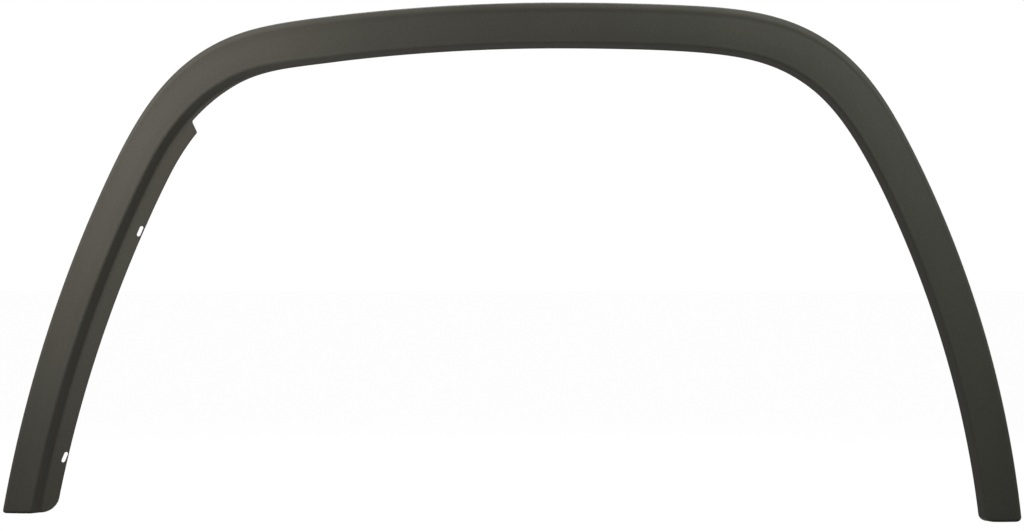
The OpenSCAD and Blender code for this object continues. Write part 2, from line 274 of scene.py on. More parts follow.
def face_w(s):
    k = max([0] + [i for i in range(len(FACE_WIDTHS) - 1) if s >= FACE_WIDTHS[i][0]])
    (s0, w0), (s1, w1) = FACE_WIDTHS[k], FACE_WIDTHS[k + 1]
    u = (s - s0) / (s1 - s0)
    return mix(w0, w1, mix(u, smooth(u), WIDTH_EASE))


def leg_part(s):
    """0 over the crown, 1 on the legs."""
    shoulder = NOSE["shoulder"] if s < 0 else DOOR["shoulder"]
    return smooth((abs(s) - shoulder * LEG_START) / shoulder)


def bead_w(s):
    return mix(BEAD_W_TOP, BEAD_W_LEG, leg_part(s))


def valley(s):
    """Width and depth of the soft valley beside the bead."""
    return [mix(a, b, leg_part(s)) for a, b in zip(VALLEY_TOP, VALLEY_LEG)]


for name, s in (("nose foot", -NOSE["length"]), ("crown", 0), ("door shoulder", DOOR["shoulder"])):
    print(f"{name}: face {face_w(s):.1f}, bead {bead_w(s):.1f} mm")

# %% [markdown]
# The flange is full along the nose leg. It is cut at a slant below the shoulder, goes on as a low
# rim and dies out where the crown begins. A concave bend turns it away from the wall, and the
# bend fades together with the rim.

# %% The flange along the trim
STEEP = 90 - WALL_SLOPE
TIP_BLUR = 0.4


def corner(t, r):
    """How much of a rounded corner of radius r is missing at distance t from the end."""
    return 0 if t >= r else r - math.sqrt(r * r - (r - t) ** 2)


def flange_reach(s):
    """The flange without its rounded corner: full, cut at a slant, then a rim that dies out."""
    if s < TIP_S - TIP_RUN / 2:
        return FLANGE_LEN
    if s < TIP_S + TIP_RUN / 2:
        return mix(FLANGE_LEN, RIM_LEN, (s - TIP_S) / TIP_RUN + 0.5)
    return RIM_LEN * (1 - smooth((s - TIP_S - TIP_RUN / 2) / RIM_RUN))


def flange_depth(s):
    """The flange as it is built, with its corners eased and rounded."""
    around = [flange_reach(s + step * TIP_BLUR) for step in range(-3, 4)]
    cut = corner(to_foot(s), NOSE_FLANGE_CORNER) if s < 0 else 0
    return max(PLAIN_LIP, sum(around) / len(around) - cut)


def bend_part(s):
    """All of the concave bend under the flange, and none of it where the wall ends plainly."""
    return clamp(flange_reach(s) / RIM_LEN)


def flange_direction(s):
    return STEEP - (FLANGE_SLOPE - WALL_SLOPE) * bend_part(s)


for name, s in (("nose leg", UPPER_SLOT_S), ("rim", TIP_S + TIP_RUN), ("crown", 0)):
    print(f"{name}: flange {flange_depth(s):.1f} mm at {flange_direction(s):.0f} degrees")

# %% [markdown]
# The bead is a quarter of an ellipse, and the hollow behind it is a smaller one. The valley is a
# soft dip, and the crown of the face is a sine, so that neither starts or ends with a kink. The
# valley is on the visible side only.

# %% The bead and the face
def bead_hollow(s):
    """Width of the hollow behind the bead."""
    return max(bead_w(s) - WALL, BEAD_HOLLOW * bead_w(s))


def bead_points(s, hidden, count):
    points = []
    for k in range(count + 1):
        a = math.pi / 2 * k / count
        if hidden:
            points.append((WALL + bead_hollow(s) * (1 - math.cos(a)),
                           -STAND + WALL + (BEAD_H - WALL) * (1 - math.sin(a))))
        else:
            points.append((bead_w(s) * (1 - math.cos(a)), -STAND + BEAD_H * (1 - math.sin(a))))
    return points


def face_point(s, hidden, w):
    bw, (valley_w, valley_d) = bead_w(s), valley(s)
    across = clamp((w - bw - CREASE_W) / (face_w(s) - bw - CREASE_W))
    rise = FACE_CROWN * math.sin(math.pi * across ** FACE_LEAN)
    dip = valley_d * math.sin(math.pi * clamp((w - bw) / valley_w)) ** 2
    return w, -STAND - rise + (WALL if hidden else dip)


def face_points(s, hidden, valley_count, count):
    bw, valley_w = bead_w(s), valley(s)[0]
    behind_bead = WALL + bead_hollow(s)
    points = []
    for k in range(1, valley_count):
        u = k / valley_count
        if hidden:
            points.append((behind_bead + BEHIND_BEAD * u, -STAND + WALL))
        else:
            points.append(face_point(s, hidden, bw + valley_w * u))
    start = max(bw + CREASE_W, behind_bead + BEHIND_BEAD) if hidden else bw + valley_w
    for k in range(count + 1):
        points.append(face_point(s, hidden, mix(start, face_w(s), k / count)))
    return points


print("middle of the face at the crown:", [round(v, 2) for v in face_point(0, False, 20)])

# %% [markdown]
# The roll is an arc of 4 mm radius. From its end a line goes down the steep wall, turns through
# the bend in a few short steps and runs out along the flange. The hidden side is the same line,
# set in by the wall thickness, which thins towards the flange's free edge.

# %% The roll, the wall and the flange
def along(point, turn, length):
    """The point a length further on in a section, turn degrees down from the face."""
    a = math.radians(turn)
    return point[0] + length * math.cos(a), point[1] + length * math.sin(a)


def roll_points(s, hidden, count):
    radius = ROLL_R - (WALL if hidden else 0)
    points = []
    for k in range(1, count + 1):
        a = math.radians(STEEP * k / count)
        points.append((face_w(s) + radius * math.sin(a), -STAND + ROLL_R - radius * math.cos(a)))
    return points


def wall_points(s, hidden, bend_count, flange_count):
    def inward(p, turn, t):
        return along(p, turn + 90, t) if hidden else p

    roll_end = (face_w(s) + ROLL_R * math.sin(math.radians(STEEP)),
                -STAND + ROLL_R * (1 - math.cos(math.radians(STEEP))))
    p = along(roll_end, STEEP, WALL_LEN - BEND_LEN * (1 - bend_part(s)))
    points = [inward(p, STEEP, WALL)]
    back = STEEP - flange_direction(s)
    for k in range(bend_count):
        p = along(p, STEEP - back * (k + 0.5) / bend_count, BEND_LEN / bend_count)
        points.append(inward(p, STEEP - back * (k + 1) / bend_count, WALL))
    turn, depth = STEEP - back, flange_depth(s)
    edge_t = mix(WALL, FLANGE_EDGE_T, clamp(depth / FLANGE_LEN))
    for k in range(1, flange_count + 1):
        u = k / flange_count
        points.append(inward(along(p, turn, depth * u), turn, mix(WALL, edge_t, u)))
    return points


print("end of the roll at the crown:", [round(v, 2) for v in roll_points(0, False, 1)[-1]])

# %% One side of the section
VISIBLE_STEPS = (12, 8, 12, 10, 4, 5)
HIDDEN_STEPS = (5, 2, 5, 5, 2, 3)


def side_points(s, hidden, steps):
    """One side of the section as (w, d) from the rim to the free edge of the flange."""
    bead_n, valley_n, face_n, roll_n, bend_n, flange_n = steps
    rim = (RIM_DRAFT + (WALL if hidden else 0), 0)
    return (
        [rim] + bead_points(s, hidden, bead_n) + face_points(s, hidden, valley_n, face_n)
        + roll_points(s, hidden, roll_n) + wall_points(s, hidden, bend_n, flange_n)
    )


print("points on the visible side:", len(side_points(0, False, VISIBLE_STEPS)))

# %% Round a corner
EDGE_BREAK, CORNER_STEPS = 0.55, 3


def broken(before, at, after):
    """The corner at a point, rounded by a short curve."""
    def towards(q):
        length = math.dist(at, q)
        u = min(EDGE_BREAK, 0.45 * length) / max(length, 1e-9)
        return mix(at[0], q[0], u), mix(at[1], q[1], u)
    a, b = towards(before), towards(after)
    curve = []
    for k in range(CORNER_STEPS + 1):
        t = k / CORNER_STEPS
        weights = ((1 - t) ** 2, 2 * t * (1 - t), t * t)
        curve.append(tuple(sum(f * p[i] for f, p in zip(weights, (a, at, b))) for i in (0, 1)))
    return curve


print("points at a broken corner:", len(broken((0, 1), (0, 0), (1, 0))))

# %% [markdown]
# The feet of the real trim are closed and rounded. Near a foot the hidden side rises to close the
# channel with an end wall, and the whole outline is squeezed and rolled to round the corners.

# %% The closed outline
def section(s):
    """The closed outline of the section at s."""
    out = side_points(s, False, VISIBLE_STEPS)
    hid = side_points(s, True, HIDDEN_STEPS)
    fill = smooth((END_WALL + END_RAMP - to_foot(s)) / END_RAMP)
    hid = [hid[0]] + [(w, max(d, mix(d, -END_CLEARANCE, fill))) for w, d in hid[1:]]
    loop = (
        broken(hid[0], out[0], out[1]) + out[1:-1] + broken(out[-2], out[-1], hid[-1])
        + broken(out[-1], hid[-1], hid[-2]) + hid[-2:0:-1] + broken(hid[1], hid[0], out[0])
    )
    t = to_foot(s)
    outer_cut = corner(t, NOSE_OUTER_CORNER if s < 0 else DOOR_OUTER_CORNER)
    inner_cut = 0 if s < 0 else corner(t, DOOR_INNER_CORNER)
    full = face_w(s) + ROLL_R
    rolled = (STAND - corner(t, FOOT_EDGE_R)) / STAND
    squeeze = (full - outer_cut - inner_cut) / full
    return [(outer_cut + w * squeeze, d * rolled if d < 0 else d) for w, d in loop]


AROUND = len(section(0))
print("points round a section:", AROUND)

# %% [markdown]
# ## The stations along the trim
# Sections are close together where the shape changes fast: at the rounded feet, at the slanted
# tip of the flange and in the shoulders. On the long even stretches a few millimetres are fine
# enough that no facet shows at this distance.

# %% Stations
CROWN_PITCH, SHOULDER_PITCH, LEG_PITCH, TIP_PITCH = 7, 4, 6, 0.8
TIP_REACH = 12
CLOSEST = 0.02


def stretch(start, end, pitch):
    """Even stations from start up to, but without, end."""
    n = max(1, math.ceil(abs(end - start) / pitch - 1e-6))
    return [mix(start, end, k / n) for k in range(n)]


def foot_stations(*radii):
    """Distances from a foot at which its rounded corners need a section."""
    near = {0.0}
    for r in radii:
        near |= {round(r * (1 - math.cos(math.radians(15 * k))), 3) for k in range(7)}
    near |= {END_WALL + END_RAMP * u for u in (0, 0.35, 0.65, 1)}
    spaced = []
    for t in sorted(near):
        if not spaced or t - spaced[-1] > CLOSEST:
            spaced.append(t)
    return spaced


nose_foot = [t - NOSE["length"] for t in foot_stations(NOSE_OUTER_CORNER, NOSE_FLANGE_CORNER)]
door_corners = foot_stations(FOOT_EDGE_R, DOOR_OUTER_CORNER, DOOR_INNER_CORNER)
door_foot = [DOOR["length"] - t for t in door_corners]
crown_start, crown_end = -130, 60
door_leg = DOOR["shoulder"] + DOOR["turn_out"]
STATIONS = (
    nose_foot
    + stretch(nose_foot[-1] + 3, TIP_S - TIP_REACH, LEG_PITCH)
    + stretch(TIP_S - TIP_REACH, TIP_S + TIP_REACH, TIP_PITCH)
    + stretch(TIP_S + TIP_REACH, crown_start, SHOULDER_PITCH)
    + stretch(crown_start, crown_end, CROWN_PITCH)
    + stretch(crown_end, door_leg, SHOULDER_PITCH)
    + stretch(door_leg, door_foot[-1], LEG_PITCH)
    + door_foot[::-1]
)
print("sections:", len(STATIONS))

# %% [markdown]
# ## The shell
# A strip whose section changes at every step is out of reach of a plain sweep along a curve.
# It could be extruded ring by ring by hand, but laying a flat grid on the shape gives the same
# faces with a tidy map: one side of the grid runs along the trim and the other goes round the
# section. The long seam is then merged and the two feet are closed.

# %% Helpers for working with operators
def deselect():
    if bpy.context.object and bpy.context.object.mode != "OBJECT":
        bpy.ops.object.mode_set(mode="OBJECT")
    bpy.ops.object.select_all(action="DESELECT")


def only(piece):
    """Makes a piece the one that operators act on."""
    deselect()
    piece.select_set(True)
    bpy.context.view_layer.objects.active = piece


def edit(piece, pick=None, kind="VERT"):
    """Opens a piece in edit mode with just the picked elements selected."""
    only(piece)
    bpy.ops.object.mode_set(mode="EDIT")
    bpy.ops.mesh.select_mode(type=kind)
    bpy.ops.mesh.select_all(action="DESELECT")
    if pick:
        bm = bmesh.from_edit_mesh(piece.data)
        elements = {"VERT": bm.verts, "EDGE": bm.edges, "FACE": bm.faces}[kind]
        for element in elements:
            if pick(element):
                element.select_set(True)
        bm.select_flush_mode()
        bmesh.update_edit_mesh(piece.data)


def leave():
    bpy.ops.object.mode_set(mode="OBJECT")


def triangles(piece):
    piece.data.calc_loop_triangles()
    return len(piece.data.loop_triangles)


# %% Lay a grid on the shape of the trim
deselect()
bpy.ops.mesh.primitive_grid_add(
    x_subdivisions=AROUND, y_subdivisions=len(STATIONS) - 1, size=1, calc_uvs=True
)
shell = bpy.context.object
shell.name = "arch_trim_moulding"
mesh = shell.data
ACROSS = AROUND + 1
assert len(mesh.vertices) == ACROSS * len(STATIONS)
outlines = [section(s) for s in STATIONS]
for index, vertex in enumerate(mesh.vertices):
    row, column = divmod(index, ACROSS)
    w, d = outlines[row][column % AROUND]
    vertex.co = place(STATIONS[row], w, d)
uv = mesh.uv_layers.active
uv.name = "along_and_round"
for loop in mesh.loops:
    row, column = divmod(loop.vertex_index, ACROSS)
    uv.data[loop.index].uv = (STATIONS[row] * MM, column / AROUND)
print("strip:", len(mesh.polygons), "faces")

# %% Merge the seam and close the feet
MERGE = 1e-6

edit(shell)
bpy.ops.mesh.select_all(action="SELECT")
bpy.ops.mesh.remove_doubles(threshold=MERGE)
for side in (-1, 1):
    bpy.ops.mesh.select_mode(type="EDGE")
    bpy.ops.mesh.select_all(action="DESELECT")
    bm = bmesh.from_edit_mesh(shell.data)
    for e in bm.edges:
        if e.is_boundary and e.verts[0].co.x * side > 0:
            e.select_set(True)
    bmesh.update_edit_mesh(shell.data)
    bpy.ops.mesh.edge_face_add()
    bpy.ops.mesh.quads_convert_to_tris(quad_method="BEAUTY", ngon_method="BEAUTY")
bpy.ops.mesh.select_all(action="SELECT")
bpy.ops.mesh.normals_make_consistent(inside=False)
leave()


def open_edges(piece):
    """How many edges lack a face on one side, and the volume inside."""
    bm = bmesh.new()
    bm.from_mesh(piece.data)
    count = sum(1 for e in bm.edges if len(e.link_faces) != 2)
    volume = bm.calc_volume(signed=True)
    bm.free()
    return count, volume


count, volume = open_edges(shell)
print("shell: open edges", count, "volume", round(volume * 1e6, 1), "cm3")

# %% [markdown]
# ## Joining and cutting
# Boolean modifiers do what the mould does: they leave one skin where a rib grows out of a wall,
# and a clean hole where a core pin stood. The exact solver is used, because the parts share
# long shallow contacts.

# %% Helpers for joining and placing
def boolean(piece, other, operation):
    only(piece)
    bpy.ops.object.modifier_add(type="BOOLEAN")
    modifier = piece.modifiers[-1]
    modifier.operation = operation
    modifier.solver = "EXACT"
    modifier.object = other
    bpy.ops.object.modifier_apply(modifier=modifier.name)
    bpy.data.objects.remove(other, do_unlink=True)


def frame_at(s, w, slide=0.0):
    """A frame on the body panel: X along the trim, Y inboard. The slide angle tips it about X."""
    x, y, z = flat_place(s, w, 0)
    at = Vector(roll_back(x, y, z)) * MM
    return (Matrix.Translation(at) @ Matrix.Rotation(math.radians(-plan_angle(x)), 4, "Z")
            @ Matrix.Rotation(math.radians(plane_turn(s)), 4, "Y")
            @ Matrix.Rotation(math.radians(slide), 4, "X"))


# %% [markdown]
# ## The screw slots
# Two short slots in the flange take flange screws. Each is cut with a rounded bar, and a second,
# flared bar breaks its visible rim, which is what gives the slots their soft shaded edge.

# %% A bar for the slots
SLOT_W, SLOT_L, SLOT_TO_EDGE = 4, 10.5, 3.1
SLOT_BAR_DEPTH = 15
RIM_FLARE, RIM_SMALLER, RIM_BAR_DEPTH, RIM_OUT = 0.6, 0.4, 2.0, 0.55


def slot_bar(width, length, depth, flare=0.0):
    """A bar with round ends along X: a cylinder whose two halves are pulled apart."""
    deselect()
    bpy.ops.mesh.primitive_cylinder_add(
        vertices=48, radius=width / 2 * MM, depth=depth * MM, rotation=(math.radians(90), 0, 0)
    )
    bar = bpy.context.object
    bpy.ops.object.transform_apply(location=True, rotation=True, scale=True)
    for side in (-1, 1):
        edit(bar, lambda v: v.co.x * side > MERGE)
        bpy.ops.transform.translate(value=(side * (length - width) / 2 * MM, 0, 0))
        leave()
    if flare:
        edit(bar, lambda v: v.co.y < 0)
        grow = (width + 2 * flare) / width
        bpy.ops.transform.resize(value=(1 + 2 * flare / length, 1, grow), center_override=(0, 0, 0))
        leave()
    return bar


# %% Cut the slots
def slot_centre(s):
    """The middle of a slot as (w, d), a set distance in from the flange's free edge."""
    out = side_points(s, False, VISIBLE_STEPS)
    return along(out[-1], flange_direction(s), -SLOT_TO_EDGE)


def slot_matrix(s):
    """One slide of the mould forms both slots, so both take the upper slot's direction."""
    turned = frame_at(UPPER_SLOT_S, slot_centre(UPPER_SLOT_S)[0], flange_direction(UPPER_SLOT_S))
    turned.translation = place(s, *slot_centre(s))
    return turned


for s in (UPPER_SLOT_S, LOWER_SLOT_S):
    bar = slot_bar(SLOT_W, SLOT_L, SLOT_BAR_DEPTH)
    bar.data.transform(slot_matrix(s))
    boolean(shell, bar, "DIFFERENCE")
    rim = slot_bar(SLOT_W - RIM_SMALLER, SLOT_L - RIM_SMALLER, RIM_BAR_DEPTH, flare=RIM_FLARE)
    rim.data.transform(slot_matrix(s) @ Matrix.Translation((0, -RIM_OUT * MM, 0)))
    boolean(shell, rim, "DIFFERENCE")
    print("slot at", [round(v, 4) for v in place(s, *slot_centre(s))])

# %% [markdown]
# ## The clip seats
# The trim is held by eight slide-in clips. Each seat is a small bridge: two walls that stand on
# the hidden side and a plate with a slot that is open towards the roll. A box is cut in three
# strips, the outer strips are drawn down to the wall, and the slot is cut last.

# %% Helpers for boxes and edges
BREAK_ANGLE = 40


def box(low, high):
    """A box between two corners in millimetres."""
    deselect()
    size = [(b - a) * MM for a, b in zip(low, high)]
    centre = [(a + b) / 2 * MM for a, b in zip(low, high)]
    bpy.ops.mesh.primitive_cube_add(size=1, location=centre, scale=size)
    made = bpy.context.object
    bpy.ops.object.transform_apply(location=True, rotation=True, scale=True)
    return made


def break_edges(piece, width, segments=2):
    """Rounds the sharp edges of a piece, as a mould does."""
    only(piece)
    bpy.ops.object.modifier_add(type="BEVEL")
    modifier = piece.modifiers[-1]
    modifier.width = width * MM
    modifier.segments = segments
    modifier.limit_method = "ANGLE"
    modifier.angle_limit = math.radians(BREAK_ANGLE)
    bpy.ops.object.modifier_apply(modifier=modifier.name)


# %% Model one clip seat
SEAT_COUNT, SEAT_MARGIN, SEAT_INSET, SEAT_CLEARANCE = 8, 70, 7, 1.5
SEAT_L, SEAT_W, SEAT_T, NECK_W, SEAT_BREAK = 20, 15, 2, 8, 0.35
ROOT_IN = 1
ROOT = -STAND + WALL - ROOT_IN
SEAT_TOP = -SEAT_CLEARANCE

seat = box((-SEAT_L / 2, SEAT_TOP - SEAT_T, -SEAT_W), (SEAT_L / 2, SEAT_TOP, 0))
seat.name = "clip_seat_pattern"
for side in (-1, 1):
    edit(seat)
    bpy.ops.mesh.select_all(action="SELECT")
    bpy.ops.mesh.bisect(plane_co=(side * (SEAT_L / 2 - SEAT_T) * MM, 0, 0), plane_no=(1, 0, 0))
    leave()
strip_in = (SEAT_L / 2 - SEAT_T) * MM
edit(seat, lambda f: f.normal.y < -0.9 and abs(f.calc_center_median().x) > strip_in, "FACE")
bpy.ops.mesh.extrude_region_move(
    TRANSFORM_OT_translate={"value": (0, (ROOT - SEAT_TOP + SEAT_T) * MM, 0)}
)
leave()
neck = slot_bar(NECK_W, 2 * SEAT_W, 3 * SEAT_T)
neck.data.transform(
    Matrix.Translation((0, (SEAT_TOP - SEAT_T / 2) * MM, (-SEAT_T - SEAT_W) * MM))
    @ Matrix.Rotation(math.radians(90), 4, "Y")
)
boolean(seat, neck, "DIFFERENCE")
break_edges(seat, SEAT_BREAK)
print("clip seat:", triangles(seat), "triangles, open edges", open_edges(seat)[0])

# %% [markdown]
# ## The cross ribs
# A thin rib half way between two seats stops the channel from twisting. Its outline follows the
# hidden side of the section, so a flat disc with as many corners is laid on that outline and
# drawn out to the rib's thickness.

# %% Model a cross rib
RIB_T, RIB_CLEARANCE, RIB_DEPTH_IN, RIB_BREAK = 1.6, 5, 0.5, 0.25


def cross_rib(s):
    hidden_side = side_points(s, True, HIDDEN_STEPS)
    root = [(w, d - RIB_DEPTH_IN) for w, d in hidden_side if d < -RIB_CLEARANCE]
    outline = [(root[0][0], -RIB_CLEARANCE)] + root + [(root[-1][0], -RIB_CLEARANCE)]
    deselect()
    bpy.ops.mesh.primitive_circle_add(vertices=len(outline), fill_type="NGON")
    rib = bpy.context.object
    for vertex, (w, d) in zip(rib.data.vertices, outline):
        vertex.co = (-RIB_T / 2 * MM, d * MM, -w * MM)
    edit(rib)
    bpy.ops.mesh.select_all(action="SELECT")
    bpy.ops.mesh.extrude_region_move(TRANSFORM_OT_translate={"value": (RIB_T * MM, 0, 0)})
    bpy.ops.mesh.select_all(action="SELECT")
    bpy.ops.mesh.normals_make_consistent(inside=False)
    leave()
    break_edges(rib, RIB_BREAK, 1)
    rib.data.transform(frame_at(s, 0))
    return rib


# %% [markdown]
# ## The locating pin
# One pin at the crown finds a hole in the body panel. It is turned in steps: a disc is drawn up
# into the boss, set in to the pin's diameter, drawn up again and tapered at the tip.

# %% Model the locating pin
BOSS_D, PIN_D, PIN_REACH, PIN_TIP, PIN_TIP_D, PIN_BREAK = 12, 6, 8, 2, 4, 0.25


def locating_pin():
    root = -STAND - FACE_CROWN + WALL - ROOT_IN
    deselect()
    bpy.ops.mesh.primitive_cylinder_add(
        vertices=64, radius=BOSS_D / 2 * MM, depth=-root * MM,
        location=(0, root / 2 * MM, 0), rotation=(math.radians(-90), 0, 0),
    )
    pin = bpy.context.object
    bpy.ops.object.transform_apply(location=True, rotation=True, scale=True)
    edit(pin, lambda f: f.normal.y > 0.9, "FACE")
    bpy.ops.mesh.inset(thickness=(BOSS_D - PIN_D) / 2 * MM)
    for length, end_d, start_d in ((PIN_REACH, PIN_D, PIN_D), (PIN_TIP, PIN_TIP_D, PIN_D)):
        bpy.ops.mesh.extrude_region_move(TRANSFORM_OT_translate={"value": (0, length * MM, 0)})
        taper = end_d / start_d
        bpy.ops.transform.resize(value=(taper, 1, taper), center_override=(0, 0, 0))
    leave()
    break_edges(pin, PIN_BREAK)
    return pin


# %% [markdown]
# On the real trim the seats, the ribs and the pin are one with the shell, so each is joined to it
# by a union, and the whole moulding is checked for gaps. The seat is modelled once and copied.

# %% Join seats, ribs and pin to the shell
fittings = []
seat_pitch = (NOSE["length"] + DOOR["length"] - 2 * SEAT_MARGIN) / (SEAT_COUNT - 1)
for k in range(SEAT_COUNT):
    only(seat)
    bpy.ops.object.duplicate(linked=False)
    copy = bpy.context.object
    copy.data.transform(frame_at(-NOSE["length"] + SEAT_MARGIN + k * seat_pitch, SEAT_INSET))
    fittings.append(copy)
bpy.data.objects.remove(seat, do_unlink=True)
for k in range(SEAT_COUNT - 1):
    fittings.append(cross_rib(-NOSE["length"] + SEAT_MARGIN + (k + 0.5) * seat_pitch))
fittings.append(locating_pin())
for fitting in fittings:
    boolean(shell, fitting, "UNION")
count, volume = open_edges(shell)
print("moulding:", triangles(shell), "triangles")
print("open edges", count, "volume", round(volume * 1e6, 1), "cm3")

# %% [markdown]
# The face, the bead and the roll are smooth curves on the real trim, so light has to run over them
# without a break, and only true corners stay sharp. Shading by angle does both in one step.

# %% Smooth the shading
CORNER_ANGLE = 32

only(shell)
bpy.ops.object.shade_smooth_by_angle(angle=math.radians(CORNER_ANGLE))
print("corners from", CORNER_ANGLE, "degrees stay sharp")

# %% [markdown]
# ## The plastic
# Exterior trim is moulded in dark charcoal plastic with a fine eroded grain. Seen close, the
# grain is a field of shallow pits under a millimetre wide. Seen from afar it only makes the
# surface matte. The tone is not dead even: it drifts a little over a hand's width, and fine
# speckles break it up.

# %% Node helpers
def link(material, a, b):
    material.node_tree.links.new(a, b)


def add_node(material, kind, **values):
    node = material.node_tree.nodes.new(kind)
    for key, value in values.items():
        if key.startswith("in_"):
            node.inputs[key[3:].replace("_", " ")].default_value = value
        else:
            setattr(node, key, value)
    return node


def ramp(material, source, stops, interpolation="LINEAR"):
    """A colour ramp on a value: stops are (position, colour)."""
    node = material.node_tree.nodes.new("ShaderNodeValToRGB")
    node.color_ramp.interpolation = interpolation
    elements = node.color_ramp.elements
    while len(elements) < len(stops):
        elements.new(1.0)
    for element, (position, colour) in zip(elements, stops):
        element.position = position
        element.color = (*colour, 1)
    link(material, source, node.inputs["Fac"])
    return node


# %% Charcoal with a slow drift and fine speckles
CHARCOAL = (0.0600, 0.0592, 0.0492)
REFRACTION, SHEEN = 1.5, 0.05
TONE_DRIFT, SPECKLE_DEPTH = 0.05, 0.1
CALM, FULL = 0.3, 0.7

plastic = bpy.data.materials.new("charcoal_moulding_plastic")
plastic.use_nodes = True
shader = plastic.node_tree.nodes["Principled BSDF"]
shader.inputs["IOR"].default_value = REFRACTION
shader.inputs["Specular IOR Level"].default_value = SHEEN

where = add_node(plastic, "ShaderNodeTexCoord")
drift = add_node(plastic, "ShaderNodeTexNoise", in_Scale=9.0, in_Detail=3.0, in_Roughness=0.55)
speckle = add_node(plastic, "ShaderNodeTexNoise", in_Scale=900.0, in_Detail=2.0, in_Roughness=0.6)
for node in (drift, speckle):
    link(plastic, where.outputs["Object"], node.inputs["Vector"])

tone = ramp(plastic, drift.outputs["Fac"], [
    (CALM, [(1 - TONE_DRIFT) * c for c in CHARCOAL]),
    (FULL, [(1 + TONE_DRIFT) * c for c in CHARCOAL]),
])
grains = add_node(
    plastic, "ShaderNodeMapRange", in_From_Min=CALM, in_From_Max=FULL,
    in_To_Min=1 - SPECKLE_DEPTH, in_To_Max=1 + SPECKLE_DEPTH,
)
link(plastic, speckle.outputs["Fac"], grains.inputs["Value"])
speckled = add_node(plastic, "ShaderNodeVectorMath", operation="SCALE")
link(plastic, tone.outputs["Color"], speckled.inputs[0])
link(plastic, grains.outputs["Result"], speckled.inputs["Scale"])

# %% [markdown]
# Handling and washing polish the crest of the bead most, the free edge of the flange less and the
# corner of the roll hardly at all. The crest band is also made paler than polish alone would make
# it, so it is partly a painted highlight along the bead. The map made with the shell says how far
# round the section a point lies, so three soft bands on that map mark the worn edges and the
# painted highlight, and the drift makes them uneven.

# %% Worn edges, with a painted highlight on the bead crest
CREST_AT, ROLL_AT = 0.62, 0.35
# The crest band is real polish and also a painted highlight along the bead.
CREST_WEAR_AND_HIGHLIGHT, ROLL_WEAR, LIP_WEAR = (0.065, 1.0), (0.045, 0.1), (0.03, 0.4)
LEAST_WEAR_AND_HIGHLIGHT = 0.55
WORN_AND_HIGHLIGHT_PALER = 1.5
DULL, POLISHED = 0.62, 0.5


def round_at(point):
    """How far round the section the given point of the visible side lies, from 0 to 1."""
    return (point + CORNER_STEPS) / AROUND


bead_steps, valley_steps, face_steps, roll_steps = VISIBLE_STEPS[:4]
crest = round_at(1 + bead_steps * CREST_AT)
roll = round_at(1 + bead_steps + valley_steps + face_steps + roll_steps * ROLL_AT)
lip = round_at(len(side_points(0, False, VISIBLE_STEPS)) + 1)
NONE = (0, 0, 0)
bands = []
for centre, (half, share) in ((crest, CREST_WEAR_AND_HIGHLIGHT), (roll, ROLL_WEAR), (lip, LIP_WEAR)):
    bands += [(centre - half, NONE), (centre, (share, share, share)), (centre + half, NONE)]

around = add_node(plastic, "ShaderNodeUVMap", uv_map="along_and_round")
split = add_node(plastic, "ShaderNodeSeparateXYZ")
link(plastic, around.outputs["UV"], split.inputs["Vector"])
worn_and_highlight_bands = ramp(plastic, split.outputs["Y"], bands, "EASE")
uneven = add_node(
    plastic, "ShaderNodeMapRange", in_From_Min=CALM, in_From_Max=FULL,
    in_To_Min=LEAST_WEAR_AND_HIGHLIGHT, in_To_Max=1.0,
)
link(plastic, drift.outputs["Fac"], uneven.inputs["Value"])
wear_and_highlight = add_node(plastic, "ShaderNodeMath", operation="MULTIPLY")
link(plastic, worn_and_highlight_bands.outputs["Color"], wear_and_highlight.inputs[0])
link(plastic, uneven.outputs["Result"], wear_and_highlight.inputs[1])

# Paler base colour on the bands: rubbed polish, and on the bead crest also a painted highlight.
wear_and_highlight_paleness = add_node(plastic, "ShaderNodeMapRange", in_To_Min=1.0, in_To_Max=WORN_AND_HIGHLIGHT_PALER)
link(plastic, wear_and_highlight.outputs["Value"], wear_and_highlight_paleness.inputs["Value"])
worn_and_highlit_tone = add_node(plastic, "ShaderNodeVectorMath", operation="SCALE")
link(plastic, speckled.outputs["Vector"], worn_and_highlit_tone.inputs[0])
link(plastic, wear_and_highlight_paleness.outputs["Result"], worn_and_highlit_tone.inputs["Scale"])
link(plastic, worn_and_highlit_tone.outputs["Vector"], shader.inputs["Base Color"])

gloss = add_node(plastic, "ShaderNodeMapRange", in_To_Min=DULL, in_To_Max=POLISHED)
link(plastic, wear_and_highlight.outputs["Value"], gloss.inputs["Value"])
link(plastic, gloss.outputs["Result"], shader.inputs["Roughness"])
print("wear bands at", [round(v, 3) for v in (crest, roll, lip)])

# %% [markdown]
# The grain is etched into the mould, so the plastic comes out with small round pits, about 0.8 mm
# apart and at most 0.05 mm deep. They are far too small to model, and they never show in the
# outline, so a cell pattern bends the light instead.

# %% Eroded grain
PITS_PER_METRE, PIT_DEPTH, PIT_STRENGTH = 1300.0, 0.05 * MM, 0.35

pits = add_node(plastic, "ShaderNodeTexVoronoi", in_Scale=PITS_PER_METRE)
link(plastic, where.outputs["Object"], pits.inputs["Vector"])
bump = add_node(plastic, "ShaderNodeBump", in_Strength=PIT_STRENGTH, in_Distance=PIT_DEPTH)
link(plastic, pits.outputs["Distance"], bump.inputs["Height"])
link(plastic, bump.outputs["Normal"], shader.inputs["Normal"])

shell.data.materials.clear()
shell.data.materials.append(plastic)
print("material nodes:", len(plastic.node_tree.nodes))

# %% [markdown]
# ## The room
# The photograph has a plain white background. The floor and the world are white to the camera,
# and the lamps alone set how bright the trim is, so the picture stays white without washing the
# dark plastic out. The floor throws back only a fifth of the light, because the wall inside the
# arch is dark in the photograph. It keeps a trace of the trim's shadow, and its glow is a little
# over 1 to make up for the share that the shadow takes.

